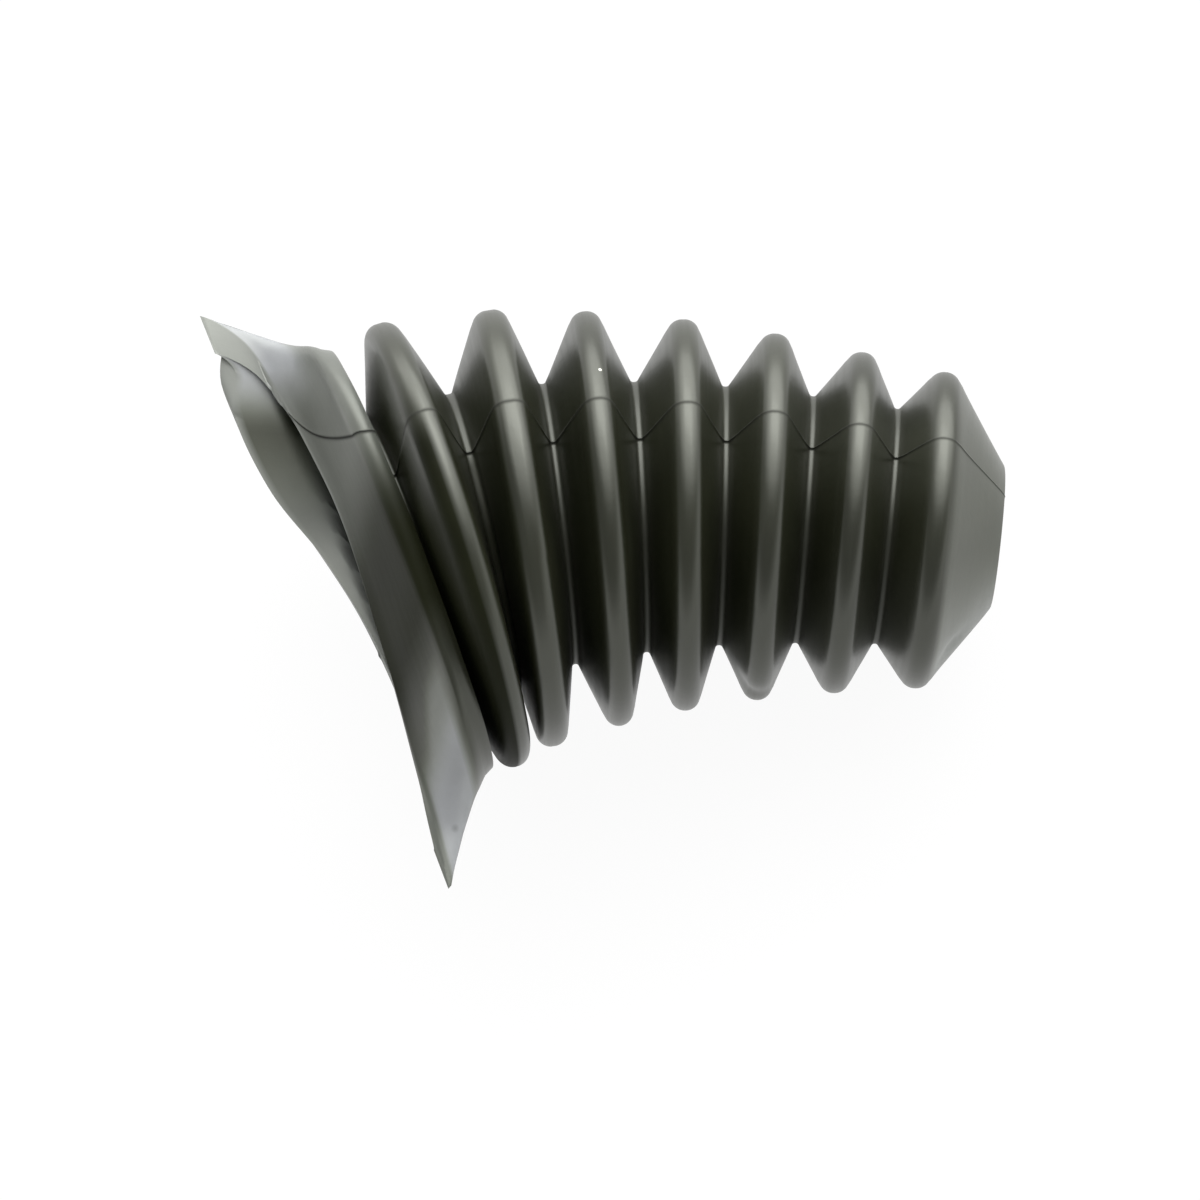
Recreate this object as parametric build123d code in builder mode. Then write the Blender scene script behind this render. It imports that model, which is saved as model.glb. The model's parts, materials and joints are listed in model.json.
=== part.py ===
from build123d import *
import os
from math import asin, atan2, cos, hypot, pi, radians, sin, sqrt, tan

# Rubber bellows boot: one thin blow-moulded skin, a bent tapered bellows with a flattened cuff.
# It lies on its crests on the floor, z = 0, with the small end towards +X and the cuff towards -X.
# Sizes are in millimetres and angles in degrees.
WALL = 1.2

# Bellows. Folds are counted from the small end, and distances run along the bent axis.
FOLDS = 7
PITCH = 20.6              # crest to crest
LAST_PITCH = 18.9         # crest to crest next to the cuff, where the bend presses them together
SMALLEST_CREST = 39.85    # radius of the crest next to the small end
TAPER = 8.5               # half angle of the cone that touches every crest
SMALLEST_ROOT = 29.6      # radius of the root next to the small end
ROOT_STEP = 1.45          # growth of each root over the one before
ROOT_PLACE = 0.46         # place of a root between its crests, from the one nearer the cuff
CREST_ROUND = 3.2         # outside roundings
ROOT_ROUND = 1.5
CUFF_ROOT_ROUND = 0.6     # of the root next to the cuff
BEND = 24.9               # turn of the last crest from the small end's direction
LEAN_BACK = 2.6           # the pressed crest next to last leans back by this much
FLAT_DEPTH = 0.3          # depth of the flat that the weight presses on each crest

# Small end: a cone from the smallest crest, closed by a flat ring round the bore.
END_CONE = 16.9
END_RADIUS = 17.9
END_ROUND = 1.2
LIP_THICKNESS = 2.0
BORE_RADIUS = 11.0

# Cuff: a plain skirt, oval at its shoulder and pressed almost flat at its rim.
CUFF_BEND = 2.9           # further turn of the cuff, from the last crest
CUFF_GAP = 12.2           # from the last crest to the shoulder
CUFF_ROOT_DEPTH = 6.0     # of the root between them, under the shoulder
CUFF_ROOT_PLACE = 0.22    # place of that root, from the shoulder
SHOULDER_WIDTH = 59.0     # half width, along the floor
SHOULDER_HEIGHT = 42.0    # half height
SHOULDER_ROUND = 3.0
CUFF_LENGTH = 29.0
LEFT_SPREAD = 27.0        # how far the pressed skirt spreads past the shoulder, to the left (+Y)
RIGHT_SPREAD = 39.5       # and to the right
UPPER_LIP = 4.0           # half heights of the mouth, above and below its middle
LOWER_LIP = 9.0
LOWER_FALL = 11.0         # length over which the lower wall comes up to its lip
POINTED_LENGTH = 14.0     # length over which the oval turns into a lens
TIP_SHARPNESS = 0.35      # 0 gives the lens round ends, 0.5 pointed ones
GAPE = 0.5                # the mouth gapes this much more towards its right tip

# The cut rim: distances from the shoulder at the two pressed tips, and at equal angles from the
# left tip to the right one. The upper wall comes straight down to it.
LEFT_TIP = 24.2
RIGHT_TIP = 19.3
UPPER_RIM = (16.4, 13.4, 10.9, 10.2, 12.0, 14.3, 16.4, 18.3)
LOWER_RIM = (21.0, 25.2, 23.8, 17.0, 13.2, 12.8, 14.6, 17.6)

# Rows of the skirt: turns round the shoulder's rounding, then shares of the way to the rim.
SHOULDER_TURNS = (-50, -10, 30, 70)
WALL_SHARES = (0.4, 0.56, 0.72, 0.87, 1.0)
ROW_POINTS = 16           # steps along each half row

taper = radians(TAPER)


# ---- the bent axis and its stations ----

def ring_plane(position, tilt):
    """Plane of a ring: x to the left along the floor, y up, z along the axis to the small end."""
    turn = radians(tilt)
    left = Vector(-sin(turn), cos(turn), 0)
    forwards = Vector(cos(turn) * cos(taper), sin(turn) * cos(taper), -sin(taper))
    return Plane(origin=position, x_dir=left, z_dir=forwards)


def crest_distance(fold):
    if fold == FOLDS:
        return (FOLDS - 2) * PITCH + LAST_PITCH
    return (fold - 1) * PITCH


def tilt_at(distance):
    """The bend is nothing at the small end and grows towards the cuff."""
    return BEND * (max(distance, 0) / crest_distance(FOLDS)) ** 2


def make_stations():
    """Ring planes of the end, the crests (by number) and the shoulder, along the bent axis."""
    stops = [("end", -END_CONE, 0.0)]
    for fold in range(1, FOLDS + 1):
        distance = crest_distance(fold)
        lean = LEAN_BACK if fold == FOLDS - 1 else 0
        stops.append((fold, distance, tilt_at(distance) - lean))
    stops.append(("shoulder", crest_distance(FOLDS) + CUFF_GAP, BEND + CUFF_BEND))

    height = SMALLEST_CREST * cos(taper) - END_CONE * sin(taper) - FLAT_DEPTH
    position = Vector(0, 0, height)
    made = {}
    last_distance = -END_CONE
    last_tilt = 0.0
    for name, distance, tilt in stops:
        step = ring_plane(position, (tilt + last_tilt) / 2)
        position = position - step.z_dir * (distance - last_distance)
        made[name] = ring_plane(position, tilt)
        last_distance = distance
        last_tilt = tilt
    return made


stations = make_stations()


def between(cuff_side, end_side, share):
    """Plane at a share of the way from one ring's plane to the next one's."""
    return Plane(
        origin=cuff_side.origin + (end_side.origin - cuff_side.origin) * share,
        x_dir=cuff_side.x_dir + end_side.x_dir,
        z_dir=cuff_side.z_dir + end_side.z_dir,
    )


def crest_radius(fold):
    return SMALLEST_CREST + crest_distance(fold) * tan(taper)


# ---- profile of the folds ----

def flank_angle(run, lean, crest, root):
    """Steepest angle of a flank from its ring's plane, where the bend presses the fold."""
    pressed_run = run - crest * sin(radians(lean))
    rise = crest - CREST_ROUND - root - ROOT_ROUND
    return atan2(pressed_run, rise) - asin((CREST_ROUND + ROOT_ROUND) / hypot(pressed_run, rise))


def band(rounding, angle):
    """Half width of the band whose two roundings meet in its middle."""
    return 1.03 * rounding * tan((pi / 2 - angle) / 2)


def fold_angles():
    """Steepest flank angle at each root: by the number of the crest on its small end's side."""
    angles = {}
    for fold in range(1, FOLDS):
        run = (crest_distance(fold + 1) - crest_distance(fold)) * min(ROOT_PLACE, 1 - ROOT_PLACE)
        lean = (tilt_between(fold, fold + 1)) / 2
        angles[fold] = flank_angle(run, lean, crest_radius(fold + 1), root_radius(fold))
    lean = tilt_between(FOLDS, "shoulder") / 2
    run = CUFF_GAP * (1 - CUFF_ROOT_PLACE)
    angles[FOLDS] = flank_angle(run, lean, crest_radius(FOLDS), root_radius(FOLDS))
    return angles


def tilt_between(first, second):
    return stations[first].z_dir.get_angle(stations[second].z_dir)


def root_radius(fold):
    """Radius of the root on the cuff's side of a crest."""
    if fold == FOLDS:
        return SHOULDER_HEIGHT - CUFF_ROOT_DEPTH
    return SMALLEST_ROOT + (fold - 1) * ROOT_STEP


def root_plane(fold):
    if fold == FOLDS:
        return between(stations["shoulder"], stations[fold], CUFF_ROOT_PLACE)
    return between(stations[fold + 1], stations[fold], ROOT_PLACE)


def root_rounding(fold):
    """Outside rounding of the root on the cuff's side of a crest."""
    return CUFF_ROOT_ROUND if fold == FOLDS else ROOT_ROUND


root_angles = fold_angles()
END_ANGLE = atan2(END_CONE, crest_radius(1) - END_RADIUS)


def bellows_rings(inset):
    """Rings from the smallest crest to the last root: plane, radius and the rounding there."""
    rings = []
    for fold in range(1, FOLDS + 1):
        steepest = min(root_angles[fold], root_angles[fold - 1] if fold > 1 else END_ANGLE)
        crest = CREST_ROUND - inset
        half = band(crest, steepest)
        for side in (half, -half):
            rings.append((stations[fold].offset(side), crest_radius(fold) - inset, crest))
        root = root_rounding(fold) + inset
        half = band(root, 0 if fold == FOLDS else root_angles[fold])
        for side in (half, -half):
            rings.append((root_plane(fold).offset(side), root_radius(fold) - inset, root))
    return rings


def ring_edges(edges, rings, rounding):
    """The edges of the rings that take one rounding."""
    chosen = ShapeList()
    for plane, radius, ring_rounding in rings:
        for edge in edges:
            points = [plane.to_local_coords(edge.position_at(place)) for place in (0.0, 0.3, 0.6)]
            on_ring = all(abs(p.Z) < 0.01 and abs(hypot(p.X, p.Y) - radius) < 0.01 for p in points)
            if ring_rounding == rounding and on_ring:
                chosen.append(edge)
    return chosen


def end_cone_radius(depth, inset):
    """Radius of the end cone at a depth inside the end face, less the inset of its wall."""
    slope = (crest_radius(1) - END_RADIUS) / END_CONE
    return END_RADIUS + depth * slope - inset * sqrt(1 + slope**2)


# ---- the cuff's skin ----

def rim_distance(rim, place):
    """Distance of the cut rim from the shoulder, at a place from 0 at the left tip to 1 at the right."""
    values = (LEFT_TIP,) + rim + (RIGHT_TIP,)
    last = len(values) - 1
    index = min(int(place * last), last - 1)
    share = place * last - index
    slopes = []
    for middle in (index, index + 1):
        before = max(middle - 1, 0)
        after = min(middle + 1, last)
        slopes.append((values[after] - values[before]) / (after - before))
    kept = (1 + 2 * share) * (1 - share) ** 2
    bent = slopes[0] * share * (1 - share) ** 2 - slopes[1] * share**2 * (1 - share)
    return values[index] * kept + values[index + 1] * (1 - kept) + bent


def shoulder_point(inset, turn):
    """Distance and half height on the shoulder's rounding, at a turn from its top."""
    rounding = SHOULDER_ROUND - inset
    return rounding * sin(radians(turn)), SHOULDER_HEIGHT - SHOULDER_ROUND + rounding * cos(radians(turn))


def wall_point(inset, distance, lip, fall, power):
    """Distance and half height on a wall that falls from the shoulder to its lip."""
    start, top = shoulder_point(0, SHOULDER_TURNS[-1])
    left = max((fall - distance) / (fall - start), 0)
    height = lip + (top - lip) * left**power
    slope = atan2(power * (top - lip) * left ** (power - 1), fall - start)
    return distance - inset * sin(slope), height - inset * cos(slope)


def cuff_row(inset, turn=None, share=None):
    """Closed wire of the skirt: an upper and a lower half that meet at its two sides."""
    edges = []
    for side, rim in ((1, UPPER_RIM), (-1, LOWER_RIM)):
        points = []
        for step in range(ROW_POINTS + 1):
            across = cos(pi * step / ROW_POINTS)
            end = rim_distance(rim, step / ROW_POINTS)
            if share is None:
                distance, height = shoulder_point(inset, turn)
                moved = distance
            else:
                distance = share * end
                lip, fall, power = (UPPER_LIP, end, 1.2) if side > 0 else (LOWER_LIP, LOWER_FALL, 1.5)
                moved, height = wall_point(inset, distance, lip, fall, power)

            past = max(distance, 0) / CUFF_LENGTH
            left = LEFT_SPREAD * past**0.9
            right = RIGHT_SPREAD * past**1.1
            width = SHOULDER_WIDTH + (left + right) / 2 + min(distance, 0) / 2
            blend = min(max(distance, 0) / POINTED_LENGTH, 1)
            exponent = 0.5 + TIP_SHARPNESS * blend * blend * (3 - 2 * blend)
            if inset:
                tip = wall_point(0, distance, UPPER_LIP, POINTED_LENGTH, 1.2)[1]
                width = min(width - inset, width * sqrt(1 - (inset / tip) ** (1 / exponent)))
            lens = (1 - across * across) ** exponent
            sideways = (left - right) / 2 + width * across
            up = side * height * lens * (1 - GAPE * past * across)
            along = distance + (moved - distance) * lens
            points.append(stations["shoulder"].from_local_coords((sideways, up, -along)))
        edges.append(Edge.make_spline(points))
    return Wire(edges)


def cuff_rows(inset):
    """Rows from the back of the shoulder's rounding to the cut rim."""
    rows = [cuff_row(inset, turn=turn) for turn in SHOULDER_TURNS]
    return rows + [cuff_row(inset, share=share) for share in WALL_SHARES]


def ring_wire(plane, radius):
    """Circle in two halves that meet at its sides, as the skirt's wires do."""
    halves = []
    for start in (0, 180):
        halves.append(Edge.make_circle(radius, plane=plane, start_angle=start, end_angle=start + 180))
    return Wire(halves)


def rim_edges(shell, wire):
    """The shell's own edges along its last wire, upper half first."""
    found = []
    for half in wire.edges():
        middle = half.position_at(0.5)
        found.append(min(shell.edges(), key=lambda edge: (edge.position_at(0.5) - middle).length))
    return found


def make_cuff():
    """The cuff's skin, from its ring-shaped seam with the bellows to the cut rim."""
    seam, outer_radius, _ = bellows_rings(0)[-1]
    inner_root, inner_radius, _ = bellows_rings(WALL)[-1]
    outer_seam = ring_wire(seam, outer_radius)
    inner_seam = ring_wire(seam, inner_radius)
    outer_rows = cuff_rows(0)
    inner_rows = cuff_rows(WALL)

    outer_flank = Shell.make_loft([outer_seam, outer_rows[0]], ruled=True)
    inner_ring = ring_wire(inner_root, inner_radius)
    inner_flank = Shell.make_loft([inner_seam, inner_ring, inner_rows[0]], ruled=True)
    outer_skirt = Shell.make_loft(outer_rows)
    inner_skirt = Shell.make_loft(inner_rows)

    faces = [Face(outer_seam, [inner_seam])]
    for shell in (outer_flank, outer_skirt, inner_flank, inner_skirt):
        faces += shell.faces()
    for outer, inner in zip(rim_edges(outer_skirt, outer_rows[-1]), rim_edges(inner_skirt, inner_rows[-1])):
        faces.append(Face.make_surface_from_curves(outer, inner))
    return Solid(Shell(faces))


# ---- the boot ----

with BuildPart() as boot:
    for inset, depth, mode in ((0, 0, Mode.ADD), (WALL, LIP_THICKNESS, Mode.SUBTRACT)):
        with BuildPart(mode=mode):
            with BuildSketch(stations["end"].offset(-depth)):
                Circle(end_cone_radius(depth, inset))
            for plane, radius, _ in bellows_rings(inset):
                with BuildSketch(plane):
                    Circle(radius)
            loft(ruled=True)
    add(make_cuff())

    with BuildSketch(stations["end"]):
        Circle(BORE_RADIUS)
    extrude(amount=-2 * LIP_THICKNESS, mode=Mode.SUBTRACT)

    for inset in (0, WALL):
        rings = bellows_rings(inset)
        for rounding in (CREST_ROUND - inset, ROOT_ROUND + inset, CUFF_ROOT_ROUND + inset):
            fillet(ring_edges(boot.edges(), rings, rounding), rounding)
    end_ring = [(stations["end"], END_RADIUS, END_ROUND)]
    fillet(ring_edges(boot.edges(), end_ring, END_ROUND), END_ROUND)

    split(bisect_by=Plane.XY, keep=Keep.TOP)

# The origin is on the floor, under the middle of the whole boot.
middle = boot.part.bounding_box().center()
bellows_boot = Pos(-middle.X, -middle.Y, 0) * boot.part
bellows_boot.label = "bellows_boot"

os.makedirs("parts", exist_ok=True)
export_step(bellows_boot, "parts/bellows_boot.step")
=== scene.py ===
import json
from collections import namedtuple
from math import asin, atan2, cos, hypot, pi, radians, sin, sqrt, tan

import bpy
import numpy as np
from mathutils import Matrix, Vector


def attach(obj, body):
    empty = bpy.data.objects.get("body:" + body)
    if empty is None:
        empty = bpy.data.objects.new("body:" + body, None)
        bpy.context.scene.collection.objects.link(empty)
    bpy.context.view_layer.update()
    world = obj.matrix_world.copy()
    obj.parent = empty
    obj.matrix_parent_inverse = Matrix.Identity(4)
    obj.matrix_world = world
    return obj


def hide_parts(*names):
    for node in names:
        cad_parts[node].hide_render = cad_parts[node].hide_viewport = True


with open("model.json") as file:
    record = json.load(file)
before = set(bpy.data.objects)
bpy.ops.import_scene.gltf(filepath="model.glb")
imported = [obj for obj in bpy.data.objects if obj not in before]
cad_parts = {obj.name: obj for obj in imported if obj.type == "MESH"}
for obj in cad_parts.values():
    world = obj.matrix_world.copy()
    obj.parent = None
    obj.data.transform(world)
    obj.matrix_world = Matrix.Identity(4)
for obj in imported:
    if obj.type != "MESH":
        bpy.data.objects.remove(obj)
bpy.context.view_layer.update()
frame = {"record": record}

# A moulded rubber bellows boot that lies on its side: a small end with a bore, seven folds and a cuff
# that is pressed almost flat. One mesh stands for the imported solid. Its rows run from the bore over the
# outer skin to the cuff's rim and back over the inner skin, and its columns run round the boot.

# ---------------------------------------------------------------------------
# The boot's sizes, in millimetres and degrees, as the part's source has them.
# ---------------------------------------------------------------------------
WALL = 1.2
FOLDS = 7
PITCH = 20.6                # crest to crest
LAST_PITCH = 18.9           # crest to crest next to the cuff
SMALLEST_CREST = 39.85      # radius of the crest next to the small end
TAPER = radians(8.5)        # half angle of the cone that touches every crest
SMALLEST_ROOT = 29.6        # radius of the root next to the small end
ROOT_STEP = 1.45            # growth of each root over the one before
ROOT_PLACE = 0.46           # place of a root between its crests, from the one nearer the cuff
CREST_ROUND = 3.2           # outside roundings
ROOT_ROUND = 0.9            # tighter than the solid's 1.5, as in the photograph
CUFF_ROOT_ROUND = 0.6       # of the root next to the cuff
BEND = 24.9                 # turn of the last crest from the small end's direction
LEAN_BACK = 2.6             # the pressed crest next to last leans back by this much
FLAT_DEPTH = 0.3            # depth of the flat that the weight presses on each crest
BAND_SPARE = 1.03           # width of a ring's band over what its two roundings take up

END_CONE = 16.9             # from the end face to the first crest
END_RADIUS = 17.9
END_ROUND = 1.2
LIP_THICKNESS = 2.0
BORE_RADIUS = 11.0

CUFF_BEND = 2.9             # further turn of the cuff, from the last crest
CUFF_GAP = 12.2             # from the last crest to the shoulder
CUFF_ROOT = 36.0            # radius of the root between them
CUFF_ROOT_PLACE = 0.22      # place of that root, from the shoulder
SHOULDER_WIDTH = 59.0       # half width, along the floor
SHOULDER_HEIGHT = 42.0      # half height
SHOULDER_ROUND = 3.0
FIRST_TURN = -50.0          # turns from the shoulder's top at which its rounding starts
LAST_TURN = 70.0            # and ends
CUFF_LENGTH = 29.0
LEFT_SPREAD = 27.0          # how far the pressed skirt spreads past the shoulder, to the left (+Y)
LEFT_POWER = 0.9            # how evenly it spreads: 1 is in a straight line
RIGHT_SPREAD = 39.5
RIGHT_POWER = 1.1
UPPER_LIP = 4.0             # half heights of the mouth, above and below its middle
LOWER_LIP = 9.0
UPPER_POWER = 1.2           # how the walls come down to their lips: 1 is in a straight line
LOWER_POWER = 1.5
LOWER_FALL = 11.0           # length over which the lower wall comes up to its lip
POINTED_LENGTH = 14.0       # length over which the oval turns into a lens
OVAL = 0.5                  # exponent of the oval's height, to which the lens adds its sharpness
TIP_SHARPNESS = 0.35
GAPE = 0.5                  # the mouth gapes this much more towards its right tip

# Distance of the cut rim from the shoulder: at the tips, and at even angles from left to right.
LEFT_TIP = 24.2
RIGHT_TIP = 19.3
UPPER_RIM = (16.4, 13.4, 10.9, 10.2, 12.0, 14.3, 16.4, 18.3)
LOWER_RIM = (21.0, 25.2, 23.8, 17.0, 13.2, 12.8, 14.6, 17.6)

# The mould's parting line, by ring angle: 0 is left, 90 is up.
PART_LINE = 73.3            # at the smallest fold, and on the opposite side too
PART_LINE_TURN = 0.55       # its drift from fold to fold
PART_LINE_REACH = 40        # how far on each side of it the columns drift too
CUFF_PART_LINE = 70.4       # where it starts on the cuff's upper wall
CUFF_PART_SLANT = 18.5      # how far it slants towards the left tip on its way to the rim
CUFF_PART_CURL = 4.0        # and curls at its end
CURL_POWER = 8              # how late it curls


# ---------------------------------------------------------------------------
# Ring planes. Each is an origin and three directions: left, up and forwards, to the small end.
# ---------------------------------------------------------------------------
def unit(vector):
    return vector / np.linalg.norm(vector, axis=-1, keepdims=True)


def ring_plane(origin, tilt):
    turn = radians(tilt)
    left = np.array((-sin(turn), cos(turn), 0.0))
    forwards = np.array((cos(turn) * cos(TAPER), sin(turn) * cos(TAPER), -sin(TAPER)))
    return origin, left, np.cross(forwards, left), forwards


def offset(plane, step):
    return (plane[0] + plane[3] * step,) + plane[1:]


def between(cuff_side, end_side, share):
    """Plane at a share of the way from one ring's plane to the next one's."""
    forwards = unit(cuff_side[3] + end_side[3])
    left = cuff_side[1] + end_side[1]
    left = unit(left - forwards * (left @ forwards))
    origin = cuff_side[0] + (end_side[0] - cuff_side[0]) * share
    return origin, left, np.cross(forwards, left), forwards


def crest_distance(fold):
    if fold == FOLDS:
        return (FOLDS - 2) * PITCH + LAST_PITCH
    return (fold - 1) * PITCH


def tilt_at(distance):
    """The bend is nothing at the small end and grows towards the cuff."""
    return BEND * (distance / crest_distance(FOLDS)) ** 2


def make_stations():
    """Ring planes of the end, the crests (by number) and the shoulder, along the bent axis."""
    stops = [("end", -END_CONE, 0.0)]
    for fold in range(1, FOLDS + 1):
        distance = crest_distance(fold)
        lean = LEAN_BACK if fold == FOLDS - 1 else 0
        stops.append((fold, distance, tilt_at(distance) - lean))
    stops.append(("shoulder", crest_distance(FOLDS) + CUFF_GAP, BEND + CUFF_BEND))

    origin = np.array((0, 0, SMALLEST_CREST * cos(TAPER) - END_CONE * sin(TAPER) - FLAT_DEPTH))
    made = {}
    last_distance = -END_CONE
    last_tilt = 0.0
    for name, distance, tilt in stops:
        step = ring_plane(origin, (tilt + last_tilt) / 2)
        origin = origin - step[3] * (distance - last_distance)
        made[name] = ring_plane(origin, tilt)
        last_distance = distance
        last_tilt = tilt
    return made


stations = make_stations()


def crest_radius(fold):
    return SMALLEST_CREST + crest_distance(fold) * tan(TAPER)


def root_radius(fold):
    """Radius of the root on the cuff's side of a crest."""
    return CUFF_ROOT if fold == FOLDS else SMALLEST_ROOT + (fold - 1) * ROOT_STEP


def root_plane(fold):
    if fold == FOLDS:
        return between(stations["shoulder"], stations[fold], CUFF_ROOT_PLACE)
    return between(stations[fold + 1], stations[fold], ROOT_PLACE)


def root_rounding(fold):
    return CUFF_ROOT_ROUND if fold == FOLDS else ROOT_ROUND


def flank_angle(run, lean, crest, root):
    """Steepest angle of a flank from its ring's plane, where the bend presses the fold."""
    pressed_run = run - crest * sin(lean)
    rise = crest - CREST_ROUND - root - ROOT_ROUND
    return atan2(pressed_run, rise) - asin((CREST_ROUND + ROOT_ROUND) / hypot(pressed_run, rise))


def band(rounding, angle):
    """Half width of the band whose two roundings meet in its middle."""
    return BAND_SPARE * rounding * tan((pi / 2 - angle) / 2)


def tilt_between(first, second):
    return np.arccos(np.clip(stations[first][3] @ stations[second][3], -1, 1))


def root_angles():
    """Steepest flank angle at each root, by the number of the crest on its small end's side."""
    angles = {}
    for fold in range(1, FOLDS):
        run = (crest_distance(fold + 1) - crest_distance(fold)) * min(ROOT_PLACE, 1 - ROOT_PLACE)
        lean = tilt_between(fold, fold + 1) / 2
        angles[fold] = flank_angle(run, lean, crest_radius(fold + 1), root_radius(fold))
    run = CUFF_GAP * (1 - CUFF_ROOT_PLACE)
    lean = tilt_between(FOLDS, "shoulder") / 2
    angles[FOLDS] = flank_angle(run, lean, crest_radius(FOLDS), root_radius(FOLDS))
    return angles


def bellows_rings(inset):
    """Rings from the smallest crest to the last root: plane, radius, rounding and fold number.
    A root is numbered halfway between its crests."""
    angles = root_angles()
    rings = []
    for fold in range(1, FOLDS + 1):
        steepest = min(angles[fold], angles[fold - 1] if fold > 1 else pi / 2)
        crest = CREST_ROUND - inset
        half = band(crest, steepest)
        for side in (half, -half):
            rings.append((offset(stations[fold], side), crest_radius(fold) - inset, crest, fold))
        root = root_rounding(fold) + inset
        half = band(root, 0 if fold == FOLDS else angles[fold])
        for side in (half, -half):
            rings.append((offset(root_plane(fold), side), root_radius(fold) - inset, root, fold + 0.5))
    return rings


# ---------------------------------------------------------------------------
# Columns of the mesh: even round the ring, with close ones across the two parting lines.
# ---------------------------------------------------------------------------
EVEN_COLUMNS = 176
CLOSE_COLUMNS = (-1.6, -1.1, -0.72, -0.36, 0.0, 0.36, 0.72, 1.1, 1.6)
COLUMN_CLEARANCE = 0.7      # least gap between the close columns and the even ones
AWAY = 99.0                 # place across the parting line of a column that isn't near it


def apart(angle, line):
    """How far two ring angles are apart, up to 180 degrees."""
    return abs((angle - line + 180) % 360 - 180)


def make_columns():
    """Ring angle of each column, in order, and its place across the parting line."""
    lines = (PART_LINE, PART_LINE + 180)
    columns = [(line + place, place) for line in lines for place in CLOSE_COLUMNS]
    for index in range(EVEN_COLUMNS):
        angle = 360 * index / EVEN_COLUMNS
        if all(apart(angle, line) > CLOSE_COLUMNS[-1] + COLUMN_CLEARANCE for line in lines):
            columns.append((angle, AWAY))
    return sorted(columns)


columns = make_columns()
BASE_ANGLES = np.array([angle for angle, place in columns])
ACROSS_LINE = np.array([place for angle, place in columns])


def ring_angles(fold):
    """The columns' angles at a fold, in radians: those near the parting line drift with it."""
    drift = PART_LINE_TURN * (fold - 1)
    angles = BASE_ANGLES.copy()
    for line in (PART_LINE, PART_LINE + 180):
        angles += drift * np.clip(1 - apart(BASE_ANGLES, line) / PART_LINE_REACH, 0, 1)
    return np.radians(angles)


def cuff_angles(way):
    """The columns' angles part of the way along the cuff, whose upper parting line slants."""
    line = CUFF_PART_LINE - CUFF_PART_SLANT * way - CUFF_PART_CURL * way**CURL_POWER
    upper = np.radians(np.interp(BASE_ANGLES, (0, PART_LINE, 180), (0, line, 180)))
    return np.where(BASE_ANGLES < 180, upper, ring_angles(FOLDS + 0.5))


def circle(plane, radius, fold):
    angles = ring_angles(fold)
    return (plane[0] + radius * np.cos(angles)[:, None] * plane[1]
            + radius * np.sin(angles)[:, None] * plane[2])


# ---------------------------------------------------------------------------
# The cuff's skin. Distances are from the shoulder's plane towards the mouth.
# ---------------------------------------------------------------------------
def rim_distance(rim, angles):
    """Distance of the cut rim, at angles from 0 at the left tip to pi at the right one."""
    values = np.array((LEFT_TIP,) + rim + (RIGHT_TIP,))
    slopes = np.gradient(values)
    place = angles / pi * (len(values) - 1)
    index = np.clip(place.astype(int), 0, len(values) - 2)
    share = place - index
    kept = (1 + 2 * share) * (1 - share) ** 2
    bent = slopes[index] * share * (1 - share) ** 2 - slopes[index + 1] * share**2 * (1 - share)
    return values[index] * kept + values[index + 1] * (1 - kept) + bent


def shoulder_point(inset, turn):
    """Distance and half height on the shoulder's rounding, at a turn from its top."""
    rounding = SHOULDER_ROUND - inset
    height = SHOULDER_HEIGHT - SHOULDER_ROUND + rounding * cos(radians(turn))
    return rounding * sin(radians(turn)), height


def wall_point(inset, distance, lip, fall, power):
    """Distance and half height on a wall that falls from the shoulder to its lip."""
    start, top = shoulder_point(0, LAST_TURN)
    left = np.maximum((fall - distance) / (fall - start), 0)
    height = lip + (top - lip) * left**power
    slope = np.arctan2(power * (top - lip) * left ** (power - 1), fall - start)
    return distance - inset * np.sin(slope), height - inset * np.cos(slope)


def wall_section(inset, across, upper, way):
    """Distances on the outer skin, then distances and half heights on the skin that is inset."""
    from_left = np.arccos(across)
    rim = np.where(upper, rim_distance(UPPER_RIM, from_left), rim_distance(LOWER_RIM, from_left))
    start = shoulder_point(0, LAST_TURN)[0]
    distance = start + (rim - start) * way
    upper_moved, upper_height = wall_point(inset, distance, UPPER_LIP, rim, UPPER_POWER)
    lower_moved, lower_height = wall_point(inset, distance, LOWER_LIP, LOWER_FALL, LOWER_POWER)
    moved = np.where(upper, upper_moved, lower_moved)
    height = np.where(upper, upper_height, lower_height)
    return distance, moved, height


def cuff_row(inset, turn=None, way=None):
    """Points of one row of the cuff: on the shoulder's rounding, or part of the way on to the rim."""
    angles = cuff_angles(way or 0)
    across = np.cos(angles)
    upper = np.sin(angles) >= 0
    if way is None:
        distance, height = shoulder_point(inset, turn)
        moved = distance
    else:
        distance, moved, height = wall_section(inset, across, upper, way)
    past = np.maximum(distance, 0) / CUFF_LENGTH
    left = LEFT_SPREAD * past**LEFT_POWER
    right = RIGHT_SPREAD * past**RIGHT_POWER
    width = SHOULDER_WIDTH + (left + right) / 2 + np.minimum(distance, 0) / 2
    blend = np.clip(distance / POINTED_LENGTH, 0, 1)
    exponent = OVAL + TIP_SHARPNESS * blend * blend * (3 - 2 * blend)
    if inset:
        tip = wall_point(0, distance, UPPER_LIP, POINTED_LENGTH, UPPER_POWER)[1]
        width = np.minimum(width - inset, width * np.sqrt(1 - (inset / tip) ** (1 / exponent)))
    lens = np.clip(1 - across * across, 0, 1) ** exponent
    sideways = (left - right) / 2 + width * across
    up = np.where(upper, 1, -1) * height * lens * (1 - GAPE * past * across)
    along = distance + (moved - distance) * lens
    plane = stations["shoulder"]
    return plane[0] + sideways[:, None] * plane[1] + up[:, None] * plane[2] - along[:, None] * plane[3]


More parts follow.
